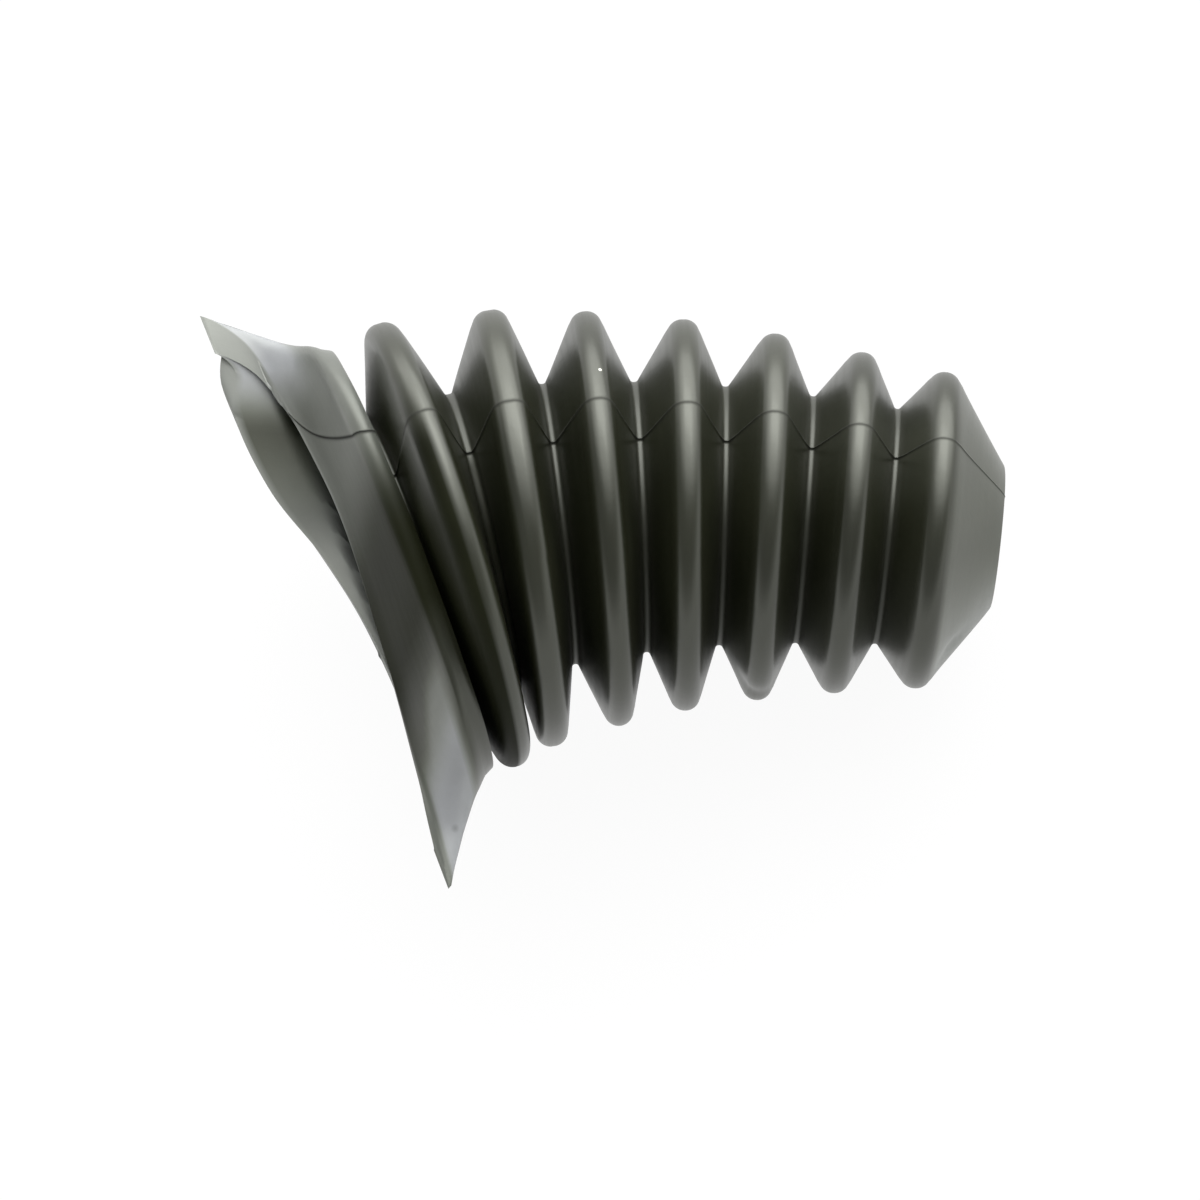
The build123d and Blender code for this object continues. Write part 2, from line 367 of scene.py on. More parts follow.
# ---------------------------------------------------------------------------
# Rows of the mesh: corners with their roundings become arcs, and straight stretches are divided.
# ---------------------------------------------------------------------------
# A row has a region (bore, face, end, flank, crest, root, shoulder or wall), the number of the fold that
# it belongs or leads to, and its way along the cuff's wall, from 0 at the shoulder to 1 at the rim.
Row = namedtuple("Row", "points region fold way", defaults=(0.0,))
Corner = namedtuple("Corner", "points rounding steps region fold")
# A skin is inset from the outer surface and starts at a depth inside the end face. Its steps divide its
# arcs and the cuff's wall, and its spacing the straight stretches.
Skin = namedtuple("Skin", "inset end_depth end_round end_steps crest_steps root_steps shoulder_steps "
                          "wall_steps spacing")

OUTER = Skin(inset=0, end_depth=0, end_round=END_ROUND, end_steps=5, crest_steps=8, root_steps=5,
             shoulder_steps=7, wall_steps=16, spacing=2.2)
INNER = Skin(inset=WALL, end_depth=LIP_THICKNESS, end_round=0.4, end_steps=2, crest_steps=3, root_steps=3,
             shoulder_steps=4, wall_steps=11, spacing=6.0)
CUFF = FOLDS + 1            # fold number of the cuff's rows
RIM_EDGE_WAY = 0.975        # one more row of the outer skin, close to the cut rim
MOST_ROOM = 0.49            # most of a straight stretch that the rounding at one of its ends takes up


def rounded(before, corner, after, radius, steps):
    """Rows of the arc that rounds one corner of every column."""
    back = unit(before - corner)
    on = unit(after - corner)
    turn = pi - np.arccos(np.clip((back * on).sum(1), -1, 1))
    shorter = np.minimum(np.linalg.norm(before - corner, axis=1), np.linalg.norm(after - corner, axis=1))
    tangent = np.minimum(radius * np.tan(turn / 2), MOST_ROOM * shorter)
    true_radius = tangent / np.tan(turn / 2)
    middle = corner + unit(back + on) * (true_radius / np.cos(turn / 2))[:, None]
    first = corner + back * tangent[:, None] - middle
    last = corner + on * tangent[:, None] - middle
    arc = []
    for step in range(steps + 1):
        share = step / steps
        swing = np.sin((1 - share) * turn)[:, None] * first + np.sin(share * turn)[:, None] * last
        arc.append(middle + swing / np.sin(turn)[:, None])
    return arc


def divided(first, last, spacing, region, fold):
    """Rows that divide a straight stretch between two rows of points."""
    count = int(np.linalg.norm(last - first, axis=1).mean() / spacing)
    shares = [step / (count + 1) for step in range(1, count + 1)]
    return [Row(first + (last - first) * share, region, fold) for share in shares]


def bellows_corners(skin):
    """The small end's corner and those of every crest and root."""
    slope = (crest_radius(1) - END_RADIUS) / END_CONE
    end_radius = END_RADIUS + skin.end_depth * slope - skin.inset * sqrt(1 + slope**2)
    end = circle(offset(stations["end"], -skin.end_depth), end_radius, 0)
    corners = [Corner(end, skin.end_round, skin.end_steps, "end", 0)]
    for plane, radius, rounding, fold in bellows_rings(skin.inset):
        points = circle(plane, radius, fold)
        if fold == int(fold):
            corners.append(Corner(points, rounding, skin.crest_steps, "crest", fold))
        else:
            corners.append(Corner(points, rounding, skin.root_steps, "root", fold))
    return corners


def cuff_rows(skin):
    """Rows from the back of the shoulder's rounding to the cut rim."""
    rows = []
    for step in range(skin.shoulder_steps + 1):
        turn = FIRST_TURN + (LAST_TURN - FIRST_TURN) * step / skin.shoulder_steps
        rows.append(Row(cuff_row(skin.inset, turn=turn), "shoulder", CUFF))
    ways = [step / skin.wall_steps for step in range(1, skin.wall_steps + 1)]
    if skin is OUTER:
        ways.insert(-1, RIM_EDGE_WAY)
    return rows + [Row(cuff_row(skin.inset, way=way), "wall", CUFF, way) for way in ways]


def skin_rows(skin):
    """Rows of one skin, from the bore to the cuff's rim."""
    bore = circle(offset(stations["end"], -skin.end_depth), BORE_RADIUS, 0)
    corners = bellows_corners(skin)
    cuff = cuff_rows(skin)
    path = [bore] + [corner.points for corner in corners] + [cuff[0].points]
    rows = [Row(bore, "face" if skin is OUTER else "bore", 0)]
    for index, corner in enumerate(corners):
        arc = rounded(path[index], corner.points, path[index + 2], corner.rounding, corner.steps)
        stretch = "face" if index == 0 else "flank"
        rows += divided(rows[-1].points, arc[0], skin.spacing, stretch, corner.fold)
        rows += [Row(points, corner.region, corner.fold) for points in arc]
    rows += divided(rows[-1].points, cuff[0].points, skin.spacing, "flank", CUFF)
    return rows + cuff


outer_rows = skin_rows(OUTER)
rows = outer_rows + skin_rows(INNER)[::-1]
row_count = len(rows)
column_count = len(BASE_ANGLES)

# Numbers for each row stand in a column, so that they spread over the columns of the mesh.
row_numbers = np.arange(row_count)[:, None]
is_outer = row_numbers < len(outer_rows)
ways = np.array([row.way for row in rows])[:, None]


def rows_where(test):
    return np.array([test(row) for row in rows])[:, None]


def by_region(values):
    return np.array([values.get(row.region, 0.0) for row in rows])[:, None]


# ---------------------------------------------------------------------------
# Relief, in millimetres: rounder crests, the parting line, a bead along the cut rim, an uneven skin and
# dents. By itself each is under half a millimetre, apart from two of the dents.
# ---------------------------------------------------------------------------
CREST_SPREAD = 1.7          # how far along the section the points of a crest are averaged
CREST_REACH = 6.0           # how far from a crest its easing fades out
CREST_WINDOW = 19.2         # how far from a crest points are averaged at all
LINE_HEIGHTS = {"end": 0.12, "crest": 0.09, "flank": 0.2, "root": 0.45, "shoulder": 0.2, "wall": 0.22}
LINE_WIDTH = 0.45           # of the parting line to each side, in degrees
WALL_LINE_WIDTH = 0.6       # and on the cuff's wall
WALL_LENGTH = 17.4          # of the cuff's wall, on average
RIM_BEAD = 0.35             # height of the bead
RIM_BEAD_WIDTH = 2.2        # how far from the rim it falls away
UNEVENNESS = {"end": 0.05, "crest": 0.1, "flank": 0.16, "root": 0.05, "shoulder": 0.12, "wall": 0.3}

# Waves of the uneven skin: radians a millimetre along x, y and z, and the phase.
WAVES = ((0.1562, 0.0946, 0.1144, 0.3),
         (-0.1056, 0.1826, 0.0814, 1.9),
         (0.0528, -0.1342, 0.2068, 4.1),
         (0.2486, 0.0638, -0.1452, 2.6),
         (-0.0814, -0.0484, 0.2750, 5.2))

# Place, radius and depth of the dents: on the third fold, at the small end's corner and on the cuff.
NEAR_RIGHT_TIP = (-123.5, -90.7, 63.2)
DENTS = (((-57.6, -46.9, 43.5), 5.0, 0.9),
         ((-7.5, -31.5, 42.5), 4.5, 1.1),
         (NEAR_RIGHT_TIP, 3.0, 0.35))


def averaged(grid, run):
    """Points averaged with their neighbours in the same column, by how far along it they are."""
    widths = np.gradient(run, axis=0)
    weights = np.exp(-(((run[:, None] - run[None]) / CREST_SPREAD) ** 2) / 2) * widths[None]
    weights /= weights.sum(axis=1, keepdims=True)
    return (weights[..., None] * grid[None]).sum(axis=1)


def eased_crests(grid):
    """The outer skin with rounder crests, which its flanks curve into. The crests keep their height."""
    eased = grid.copy()
    steps = np.linalg.norm(np.diff(grid, axis=0), axis=2)
    run = np.concatenate((np.zeros((1, column_count)), np.cumsum(steps, axis=0)))
    every = np.arange(column_count)
    for fold in range(1, FOLDS + 1):
        crest = [number for number, row in enumerate(outer_rows) if (row.region, row.fold) == ("crest", fold)]
        middle = (run[crest[0]] + run[crest[-1]]) / 2
        centre = (grid[crest[0]] + grid[crest[-1]]) / 2
        window = np.abs(run - middle).mean(axis=1) < CREST_WINDOW
        before = grid[window]
        after = averaged(before, run[window])
        away = run[window] - middle
        top = np.abs(away).argmin(axis=0)
        sunk = np.linalg.norm(after[top, every] - before[top, every], axis=1)[:, None]
        outwards = unit(before[top, every] - centre)
        share = np.exp(-((away / CREST_REACH) ** 4))[..., None]
        eased[window] = before + share * (after - before + sunk * outwards)
    return eased


def surface_normals(grid):
    """Normals that point out of the rubber: outwards on the outer skin and inwards on the inner one."""
    round_ring = np.roll(grid, -1, axis=1) - np.roll(grid, 1, axis=1)
    along = np.roll(grid, -1, axis=0) - np.roll(grid, 1, axis=0)
    normals = unit(np.cross(along, round_ring))
    middle = len(outer_rows) // 2
    outwards = (normals[middle] * (grid[middle] - grid[middle].mean(0))).sum()
    return normals if outwards > 0 else -normals


def waviness(places):
    """Smooth unevenness between -1 and 1 from a few crossing waves, the same on each run."""
    return sum(np.sin(places @ np.array(wave[:3]) + wave[3]) for wave in WAVES) / len(WAVES)


def relief(grid):
    """How far each vertex moves along its normal. Waves and dents move both skins the same way."""
    both = np.where(is_outer, 1, -1)
    lift = by_region(LINE_HEIGHTS) * parting_line
    lift += RIM_BEAD * is_outer * np.exp(-(WALL_LENGTH * (1 - ways) / RIM_BEAD_WIDTH) ** 2)
    lift += by_region(UNEVENNESS) * waviness(grid) * both
    for place, radius, depth in DENTS:
        far_off = np.linalg.norm(grid - np.array(place), axis=2)
        lift -= depth * np.exp(-(far_off / radius) ** 2) * both
    return lift


line_widths = np.where(ways > 0, WALL_LINE_WIDTH, LINE_WIDTH)
parting_line = np.exp(-(ACROSS_LINE / line_widths) ** 2) * is_outer

points = np.stack([row.points for row in rows])
points[:len(outer_rows)] = eased_crests(points[:len(outer_rows)])
points += surface_normals(points) * relief(points)[..., None]
points[..., 2] = np.maximum(points[..., 2], 0)

# ---------------------------------------------------------------------------
# The mesh. Millimetres in the part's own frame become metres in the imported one, anchored on the bore.
# ---------------------------------------------------------------------------
MILLIMETRE = 0.001          # in metres
SHARP_ANGLE = radians(38)   # of the edges that are shaded sharp: the bore's and the cut rim's

bore = next(mount for mount in frame["record"]["mounts"] if mount["name"] == "small_end_bore")
bore_middle = stations["end"][0] - stations["end"][3] * LIP_THICKNESS / 2
shift = np.array(bore["pos_m"]) / MILLIMETRE - bore_middle
shift[2] = 0.0              # both frames have the floor at 0


def packed(places):
    """Places in the part's own frame, in millimetres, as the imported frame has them, in metres."""
    return (np.array(places) + shift) * MILLIMETRE


def make_mesh():
    """One quad between each row and the next, and the next column. Rows and columns both close."""
    index = np.arange(row_count * column_count).reshape(row_count, column_count)
    next_row = np.roll(index, -1, axis=0)
    corners = (next_row, np.roll(next_row, -1, axis=1), np.roll(index, -1, axis=1), index)
    quads = np.stack(corners, axis=-1).reshape(-1, 4)
    made = bpy.data.meshes.new("boot_skin")
    made.from_pydata(packed(points).reshape(-1, 3).tolist(), [], quads.tolist())
    made.update()
    made.shade_smooth()
    made.set_sharp_from_angle(angle=SHARP_ANGLE)
    return made


mesh = make_mesh()

# ---------------------------------------------------------------------------
# What the material reads at each vertex. `across` runs over the cuff from 1 at its left tip to -1 at its
# right one, `ways` along its wall from 0 at the shoulder to 1 at the rim.
# ---------------------------------------------------------------------------
# A patch comes in between two places across the cuff and two ways along its wall. A stretch comes and
# goes between two pairs of ring angles, or of places across the cuff.
Patch = namedtuple("Patch", "strength across ways")
Stretch = namedtuple("Stretch", "strength comes goes")

# Painted reflection, pale, on the cuff's upper wall: left tip, thinly on the left half, right tip.
UPPER_PAINTED_REFLECTION = (Patch(0.8, (0.62, 0.95), (0.0, 0.5)),
               Patch(0.4, (-0.15, 0.45), (-1.0, 0.0)),
               Patch(0.5, (-0.68, -0.84), (0.0, 0.2)))
# The painted reflection reaches further in from the right tip. Its edge moves from the shoulder's side to the
# rim's.
TIP_REFLECTION = 0.5
TIP_REFLECTION_EDGE = (-0.54, -0.65)
TIP_REFLECTION_EDGE_WAYS = (0.35, 0.8)
TIP_REFLECTION_SOFTNESS = 0.12
TIP_REFLECTION_WAYS = (0.0, 0.2)
# Painted reflection on the lower wall: left tip, right tip and all that is right of the left tip.
LOWER_PAINTED_REFLECTION = (Patch(1.0, (0.7, 0.95), (0.0, 0.4)),
               Patch(0.45, (-0.7, -0.95), (0.0, 0.4)),
               Patch(0.55, (0.8, 0.2), (0.0, 0.4)))
# Along the rim, to the right, the painted reflection is thinner on both walls.
THINNER = Patch(0.6, (-0.45, -0.7), (0.86, 0.92))
# Painted light on the end cone, and more of it round one ring angle, on its low side.
CONE_PAINTED_LIGHT = 0.14
CONE_LOW_PAINTED_LIGHT = 0.5
CONE_LOW_ANGLE = 220
CONE_LOW_RANGE = (-0.3, 0.9)

# Places with less gloss.
DULL_UPPER_WALL = Stretch(1.0, (0.45, 0.0), (-0.4, -0.75))
DULL_LOWER_INSIDE = Stretch(0.5, (0.15, 0.4), (0.7, 0.95))
DULL_ROOTS = Stretch(0.35, (88, 115), (180, 240))
DULL_LAST_ROOT = Stretch(0.55, (72, 80), (180, 240))
DULL_BESIDE_CUFF = Stretch(0.9, (78, 105), (210, 280))
DULL_CREST_SIDE = Stretch(1.0, (60, 84), (210, 280))

# Where the cut rim and the upper wall's edge next to it get a painted highlight.
CUT_RIM_ACROSS = (-0.25, 0.35)
EDGE_HIGHLIGHT = Patch(0.8, (0.05, 0.4), (0.96, RIM_EDGE_WAY))
# How much painted shade lies along the parting line, by region.
LINE_SHADE = {"end": 0.7, "crest": 0.6, "flank": 0.65, "root": 1.0, "shoulder": 1.0, "wall": 1.0}
GRIME = {"root": 1.0, "face": 0.3, "bore": 0.5}
STREAK_RADIUS = 60          # of the tube on which the streaks are laid
UPPER_SOFTNESS = 0.15       # of the change from the upper wall to the lower one, at the tips

across = np.cos([cuff_angles(row.way) for row in rows])
on_cuff = rows_where(lambda row: row.region in ("shoulder", "wall"))
on_upper_half = BASE_ANGLES < 180


def ease(values, start, end):
    """0 up to the start and 1 from the end on, with a smooth step between. Either may be the lower."""
    share = np.clip((values - start) / (end - start), 0, 1)
    return share * share * (3 - 2 * share)


def on_patch(patch):
    return patch.strength * ease(across, *patch.across) * ease(ways, *patch.ways)


def on_stretch(values, stretch):
    return stretch.strength * ease(values, *stretch.comes) * (1 - ease(values, *stretch.goes))


upper_share = ease(np.sin(np.radians(BASE_ANGLES)), -UPPER_SOFTNESS, UPPER_SOFTNESS)


def painted_reflection_values():
    """The cuff's painted reflection, with a soft change from wall to wall at its tips, and the end cone's
    painted light.
    """
    edge = TIP_REFLECTION_EDGE[0] + (TIP_REFLECTION_EDGE[1] - TIP_REFLECTION_EDGE[0]) * ease(ways, *TIP_REFLECTION_EDGE_WAYS)
    tip_reflection = on_patch(Patch(TIP_REFLECTION, (edge, edge - TIP_REFLECTION_SOFTNESS), TIP_REFLECTION_WAYS))
    upper_wall = tip_reflection + sum(on_patch(patch) for patch in UPPER_PAINTED_REFLECTION)
    lower_wall = sum(on_patch(patch) for patch in LOWER_PAINTED_REFLECTION)
    cuff = on_cuff * (upper_share * upper_wall + (1 - upper_share) * lower_wall)
    on_cone = rows_where(lambda row: row.region in ("end", "flank") and row.fold <= 1)
    low = ease(np.cos(np.radians(BASE_ANGLES - CONE_LOW_ANGLE)), *CONE_LOW_RANGE)
    painted_reflection = np.clip(cuff + on_cone * (CONE_PAINTED_LIGHT + CONE_LOW_PAINTED_LIGHT * low), 0, 1)
    return painted_reflection * (1 - on_patch(THINNER))


def dull_values():
    """The dull places: two on the cuff, the others on the bellows and mostly next to it."""
    upper_wall = on_cuff & is_outer & on_upper_half
    lower_inside = on_cuff & ~is_outer & ~on_upper_half
    roots = is_outer & rows_where(lambda row: row.region == "root")
    last_root = roots & rows_where(lambda row: row.fold == FOLDS - 0.5)
    beside_cuff = rows_where(lambda row: row.region in ("root", "flank") and row.fold > FOLDS)
    last_crest = is_outer & rows_where(lambda row: row.region == "crest" and row.fold == FOLDS)
    crest_side = last_crest & (row_numbers > np.flatnonzero(last_crest).mean())
    return (upper_wall * on_stretch(across, DULL_UPPER_WALL)
            + lower_inside * on_stretch(across, DULL_LOWER_INSIDE)
            + roots * on_stretch(BASE_ANGLES, DULL_ROOTS)
            + last_root * on_stretch(BASE_ANGLES, DULL_LAST_ROOT)
            + beside_cuff * on_stretch(BASE_ANGLES, DULL_BESIDE_CUFF)
            + crest_side * on_stretch(BASE_ANGLES, DULL_CREST_SIDE))


def rim_values():
    """Painted highlight on the cut rim and on the upper wall's edge next to it, both on the left."""
    cut_highlight = (ways == 1) * ease(across, *CUT_RIM_ACROSS)
    edge_highlight = upper_share * is_outer * on_patch(EDGE_HIGHLIGHT)
    return np.maximum(cut_highlight, edge_highlight)


def streak_places():
    """Each vertex's place on a tube that is as long as the section, so that streaks run round the boot."""
    steps = np.linalg.norm(np.diff(points, axis=0), axis=2).mean(1)
    run = np.concatenate(([0.0], np.cumsum(steps)))[:, None]
    angles = np.radians(BASE_ANGLES)
    sides = np.broadcast_arrays(STREAK_RADIUS * np.cos(angles), STREAK_RADIUS * np.sin(angles), run)
    return np.stack(sides, axis=-1)


def point_values(name, values):
    """Stores one number or one vector for each vertex."""
    kind = "FLOAT_VECTOR" if values.ndim == 3 else "FLOAT"
    field = "vector" if values.ndim == 3 else "value"
    every = np.broadcast_to(values, (row_count, column_count) + values.shape[2:])
    attribute = mesh.attributes.new(name, kind, "POINT")
    attribute.data.foreach_set(field, every.astype(np.float32).ravel())


point_values("dull", dull_values())
# Painted shade along the parting line.
point_values("seam_shade", parting_line * by_region(LINE_SHADE))
# Painted highlight on the cut rim and the edge next to it.
point_values("rim", rim_values())
# Painted reflection on the cuff and painted light on the end cone.
point_values("painted_reflection", painted_reflection_values())
point_values("grime", by_region(GRIME))
point_values("streaks", streak_places())

boot = bpy.data.objects.new("boot_skin", mesh)
bpy.context.scene.collection.objects.link(boot)
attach(boot, "root")
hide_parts("bellows_boot")

# ---------------------------------------------------------------------------
# Materials
# ---------------------------------------------------------------------------
# Sockets of a Mix node that mixes colours, by number, because its other types share their names.
MIX_FIRST = 6
MIX_SECOND = 7
MIX_RESULT = 2


class Nodes:
    """Short words for the nodes of one material or world."""

    def __init__(self, owner):
        owner.use_nodes = True
        self.tree = owner.node_tree
        self.shader = self.tree.nodes.get("Principled BSDF")

    def add(self, kind, inputs=(), **settings):
        made = self.tree.nodes.new("ShaderNode" + kind)
        for name, value in settings.items():
            setattr(made, name, value)
        for name, value in dict(inputs).items():
            self.feed(made.inputs[name], value)
        return made

    def feed(self, socket, value):
        if isinstance(value, bpy.types.NodeSocket):
            self.tree.links.new(value, socket)
        else:
            socket.default_value = value

    def attribute(self, name, output="Fac"):
        return self.add("Attribute", attribute_name=name).outputs[output]

    def noise(self, place, noise):
        inputs = {"Vector": place, "Scale": noise.scale, "Detail": noise.detail, "Roughness": noise.roughness}
        return self.add("TexNoise", inputs).outputs["Fac"]

    def spread(self, value, low, high, to_low, to_high, curve="LINEAR"):
        inputs = {"Value": value, "From Min": low, "From Max": high, "To Min": to_low, "To Max": to_high}
        return self.add("MapRange", inputs, interpolation_type=curve).outputs["Result"]

    def math(self, operation, first, second):
        return self.add("Math", {0: first, 1: second}, operation=operation).outputs[0]

    def mix(self, share, first, second):
        made = self.add("Mix", data_type="RGBA")
        self.feed(made.inputs["Factor"], share)
        self.feed(made.inputs[MIX_FIRST], first)
        self.feed(made.inputs[MIX_SECOND], second)
        return made.outputs[MIX_RESULT]

    def spot(self, place, mark):
        """A round mark at a place in the part's own frame, in millimetres, that fades to its radius."""
        target = Vector(packed(mark.place))
        away = self.add("VectorMath", {0: place, 1: target}, operation="DISTANCE").outputs["Value"]
        return self.spread(away, MARK_CORE * MILLIMETRE, mark.radius * MILLIMETRE, mark.strength, 0.0)

    def bump(self, height, strength, depth, under=None):
        made = self.add("Bump", {"Height": height, "Strength": strength, "Distance": depth})
        if under is not None:
            self.feed(made.inputs["Normal"], under)
        return made.outputs["Normal"]


# Rubber: satin olive black with clouds, faint streaks round the folds, orange peel and a fine grain. On
# it lie dust in the roots, a pale painted reflection, a painted highlight on the cut rim, painted shade along
# the parting line, a scuff and a light speck.
Noise = namedtuple("Noise", "scale detail roughness")
CLOUDS = Noise(22.0, 4.0, 0.55)         # scales by the metre
BLOTCHES = Noise(90.0, 5.0, 0.6)
ORANGE_PEEL = Noise(420.0, 3.0, 0.5)
GRAIN = Noise(2400.0, 2.0, 0.5)
STREAKS = Noise(1.0, 4.0, 0.6)
STREAK_SCALE = (0.02, 0.02, 0.6)        # by the millimetre: long round the boot, short along the section

DARK_RUBBER = (0.0054, 0.0061, 0.0024, 1)
LIGHT_RUBBER = (0.0122, 0.0136, 0.0058, 1)
STREAKED_RUBBER = (0.018, 0.0195, 0.0130, 1)
DUST = (0.020, 0.020, 0.015, 1)
# Pale colours painted for reflection on the cuff and light on the end cone.
THIN_PAINTED_REFLECTION = (0.195, 0.211, 0.168, 1)
THICK_PAINTED_REFLECTION = (0.262, 0.270, 0.282, 1)
# A painted highlight along the cut rim.
CUT_RIM_HIGHLIGHT = (0.165, 0.172, 0.160, 1)
# Painted shade along the parting line.
PAINTED_LINE_SHADE = (0.006, 0.006, 0.005, 1)
SCUFFED_RUBBER = (0.008, 0.008, 0.008, 1)
LIGHT_SPECK = (0.75, 0.75, 0.68, 1)

# What a noise becomes: its range from low to high, and what is made of the low and of the high.
CLOUD_SHARE = (0.3, 0.7, 0.0, 1.0)
STREAK_SHARE = (0.55, 0.75, 0.0, 0.35)
DUST_SHARE = (0.35, 0.7, 0.1, 0.6)
PAINTED_REFLECTION_SHARE = (0.25, 0.65, 0.85, 1.0)
CLOUD_ROUGHNESS = (0.25, 0.75, 0.29, 0.36)
STREAK_ROUGHER = (0.4, 0.8, 0.0, 0.05)

ROUGHER = {"seam_shade": 0.35, "dull": 0.22, "grime": 0.14, "painted_reflection": 0.12}
GLOSS = 0.85                # specular level
MATT = 0.08                 # and where the rubber is dull and along the parting line
GLOSS_TINT = (0.975, 1.0, 0.905, 1)
PEEL_STRENGTH = 0.06
PEEL_DEPTH = 0.0004         # in metres, as the grain's is
GRAIN_STRENGTH = 0.10
GRAIN_DEPTH = 0.0001

Mark = namedtuple("Mark", "place radius strength")
MARK_CORE = 0.3             # radius up to which a mark is full
SCUFF = Mark(NEAR_RIGHT_TIP, 1.3, 0.35)
SPECK = Mark((-94.0, 17.4, 97.8), 0.55, 1.0)


def rubber_colour(nodes, place, cloud, streak):
    blotch = nodes.noise(place, BLOTCHES)
    painted_reflection = nodes.attribute("painted_reflection")
    colour = nodes.mix(nodes.spread(cloud, *CLOUD_SHARE), DARK_RUBBER, LIGHT_RUBBER)
    colour = nodes.mix(nodes.spread(streak, *STREAK_SHARE), colour, STREAKED_RUBBER)
    dust = nodes.math("MULTIPLY", nodes.attribute("grime"), nodes.spread(blotch, *DUST_SHARE))
    colour = nodes.mix(dust, colour, DUST)
    # Painted reflection on the cuff and painted light on the end cone.
    pale = nodes.math("MULTIPLY", painted_reflection, nodes.spread(blotch, *PAINTED_REFLECTION_SHARE))
    colour = nodes.mix(pale, colour, nodes.mix(painted_reflection, THIN_PAINTED_REFLECTION, THICK_PAINTED_REFLECTION))
    # Painted highlight on the cut rim.
    colour = nodes.mix(nodes.attribute("rim"), colour, CUT_RIM_HIGHLIGHT)
    # Painted shade along the parting line.
    colour = nodes.mix(nodes.attribute("seam_shade"), colour, PAINTED_LINE_SHADE)
    colour = nodes.mix(nodes.spot(place, SCUFF), colour, SCUFFED_RUBBER)
    return nodes.mix(nodes.spot(place, SPECK), colour, LIGHT_SPECK)


def rubber_roughness(nodes, cloud, streak):
    rough = nodes.spread(cloud, *CLOUD_ROUGHNESS)
    rough = nodes.math("ADD", rough, nodes.spread(streak, *STREAK_ROUGHER))
    for name, more in ROUGHER.items():
        rough = nodes.math("ADD", rough, nodes.math("MULTIPLY", nodes.attribute(name), more))
    return rough


def rubber_normal(nodes, place):
    peel = nodes.bump(nodes.noise(place, ORANGE_PEEL), PEEL_STRENGTH, PEEL_DEPTH)
    return nodes.bump(nodes.noise(place, GRAIN), GRAIN_STRENGTH, GRAIN_DEPTH, under=peel)


def make_rubber():
    material = bpy.data.materials.new("rubber")
    nodes = Nodes(material)
    place = nodes.add("TexCoord").outputs["Object"]
    laid = nodes.add("Mapping", {"Vector": nodes.attribute("streaks", "Vector"), "Scale": STREAK_SCALE})
    streak = nodes.noise(laid.outputs["Vector"], STREAKS)
    cloud = nodes.noise(place, CLOUDS)
    matt = nodes.math("MAXIMUM", nodes.attribute("dull"), nodes.attribute("seam_shade"))

    inputs = nodes.shader.inputs
    nodes.feed(inputs["Base Color"], rubber_colour(nodes, place, cloud, streak))
    nodes.feed(inputs["Roughness"], rubber_roughness(nodes, cloud, streak))
    nodes.feed(inputs["Specular IOR Level"], nodes.spread(matt, 0, 1, GLOSS, MATT))
    nodes.feed(inputs["Specular Tint"], GLOSS_TINT)
    nodes.feed(inputs["Normal"], rubber_normal(nodes, place))
    return material


mesh.materials.append(make_rubber())

# ---------------------------------------------------------------------------
# Floor
# ---------------------------------------------------------------------------
FLOOR_HALF = 6.0
FLOOR_DROP = 0.0002         # keeps it clear of the boot's flats
PAPER = (0.9, 0.9, 0.9, 1)
PAPER_ROUGHNESS = 0.8
PAPER_GLOSS = 0.1
PLAIN_WHITE = 0.94          # share of plain white that the camera sees, so that a faint shadow is left


def make_paper():
    """White paper: mostly plain white to the camera and to reflections."""
    material = bpy.data.materials.new("paper")
    nodes = Nodes(material)
    inputs = nodes.shader.inputs
    nodes.feed(inputs["Base Color"], PAPER)
    nodes.feed(inputs["Roughness"], PAPER_ROUGHNESS)
    nodes.feed(inputs["Specular IOR Level"], PAPER_GLOSS)
    path = nodes.add("LightPath").outputs
    seen = nodes.math("MAXIMUM", path["Is Camera Ray"], path["Is Glossy Ray"])
    seen = nodes.math("MAXIMUM", seen, path["Is Transmission Ray"])
    white = nodes.add("Emission", {"Color": (1, 1, 1, 1), "Strength": 1.0}).outputs["Emission"]
    share = nodes.math("MULTIPLY", seen, PLAIN_WHITE)
    blend = nodes.add("MixShader", {0: share, 1: nodes.shader.outputs["BSDF"], 2: white})
    nodes.feed(nodes.tree.nodes["Material Output"].inputs["Surface"], blend.outputs["Shader"])
    return material


def make_floor():
    sides = ((-1, -1), (1, -1), (1, 1), (-1, 1))
    corners = [(x * FLOOR_HALF, y * FLOOR_HALF, -FLOOR_DROP) for x, y in sides]
    floor_mesh = bpy.data.meshes.new("floor")
    floor_mesh.from_pydata(corners, [], [(0, 1, 2, 3)])
    floor_mesh.materials.append(make_paper())
    made = bpy.data.objects.new("floor", floor_mesh)
    bpy.context.scene.collection.objects.link(made)
    return made


floor = make_floor()

# ---------------------------------------------------------------------------
# Light. Places and sizes are in metres, and a strength of 1 is white.
# ---------------------------------------------------------------------------
WALL_LIGHT = 1.3
WALL_TOP = 0.1              # height up to which the walls reach, from 0 at the horizon to 1 overhead
CEILING_LIGHT = 0.35
CEILING_START = 0.5         # and from which on all is ceiling
WINDOW = Vector((0.12, 0.77, 0.63)).normalized()
WINDOW_LIGHT = 2.9
WINDOW_FULL = radians(26)   # angle from the window's middle up to which it is full
WINDOW_END = radians(62)    # and at which it ends
KEY_PLACE = Vector((0.2, 0.95, 0.95))
KEY_TARGET = Vector((0, 0, 0.05))
KEY_SIZE = (1.1, 0.7)
KEY_RADIANCE = 3.0


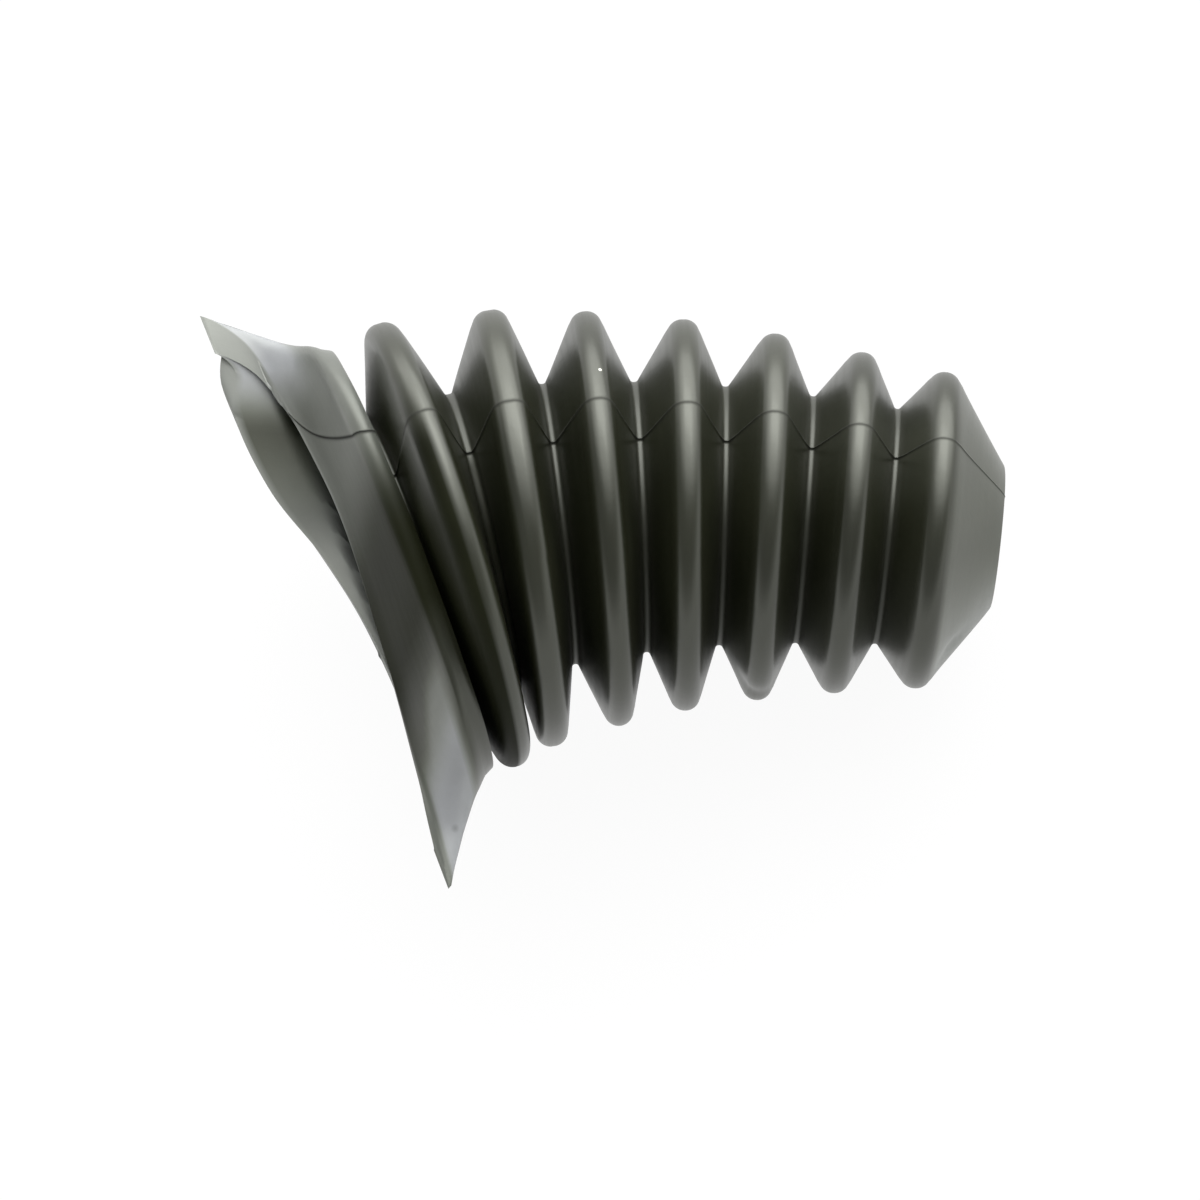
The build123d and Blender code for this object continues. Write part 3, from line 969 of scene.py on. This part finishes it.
def make_studio():
    """Bright walls at the horizon, a dimmer ceiling and one broad, soft window of light."""
    world = bpy.data.worlds.new("studio")
    nodes = Nodes(world)
    direction = nodes.add("TexCoord").outputs["Generated"]
    height = nodes.add("SeparateXYZ", {"Vector": direction}).outputs["Z"]
    walls = nodes.spread(height, WALL_TOP, CEILING_START, WALL_LIGHT, CEILING_LIGHT)
    towards = nodes.add("VectorMath", {0: direction, 1: WINDOW}, operation="DOT_PRODUCT").outputs["Value"]
    window = nodes.spread(towards, cos(WINDOW_END), cos(WINDOW_FULL), 0.0, WINDOW_LIGHT, "SMOOTHSTEP")
    background = nodes.tree.nodes["Background"].inputs
    nodes.feed(background["Strength"], nodes.math("ADD", walls, window))
    nodes.feed(background["Color"], (1, 1, 1, 1))
    return world


def make_key_light():
    """A soft box with the power that gives it its radiance."""
    light = bpy.data.lights.new("key", "AREA")
    light.shape = "RECTANGLE"
    light.size, light.size_y = KEY_SIZE
    light.energy = KEY_RADIANCE * pi * KEY_SIZE[0] * KEY_SIZE[1]
    made = bpy.data.objects.new("key", light)
    made.location = KEY_PLACE
    made.rotation_euler = (KEY_TARGET - KEY_PLACE).to_track_quat("-Z", "Y").to_euler()
    bpy.context.scene.collection.objects.link(made)


bpy.context.scene.world = make_studio()
make_key_light()

# ---------------------------------------------------------------------------
# Camera: above the boot, tilted along both sides of the picture. Its place is in metres.
# ---------------------------------------------------------------------------
CAMERA_AIM = Vector((0.004977, 0.003013, 0.050))
CAMERA_DISTANCE = 1.1
CAMERA_ROLL = radians(-6.005)
SIDE_TILT = radians(8.300)
AHEAD_TILT = radians(-17.799)
LENS = 132                  # in millimetres, as the sensor is
SENSOR = 36
VIEW_REACH = 20


def make_camera():
    side = Vector((cos(CAMERA_ROLL), -sin(CAMERA_ROLL), 0))
    ahead = Vector((sin(CAMERA_ROLL), cos(CAMERA_ROLL), 0))
    back = (side * tan(SIDE_TILT) + ahead * tan(AHEAD_TILT) + Vector((0, 0, 1))).normalized()
    up = (ahead - back * ahead.dot(back)).normalized()
    data = bpy.data.cameras.new("camera")
    data.sensor_width = SENSOR
    data.lens = LENS
    data.clip_end = VIEW_REACH
    made = bpy.data.objects.new("camera", data)
    bpy.context.scene.collection.objects.link(made)
    pose = Matrix((up.cross(back), up, back)).transposed().to_4x4()
    pose.translation = CAMERA_AIM + back * CAMERA_DISTANCE
    made.matrix_world = pose
    return made


camera = make_camera()
bpy.context.scene.camera = camera
bpy.context.scene.view_settings.view_transform = "Standard"
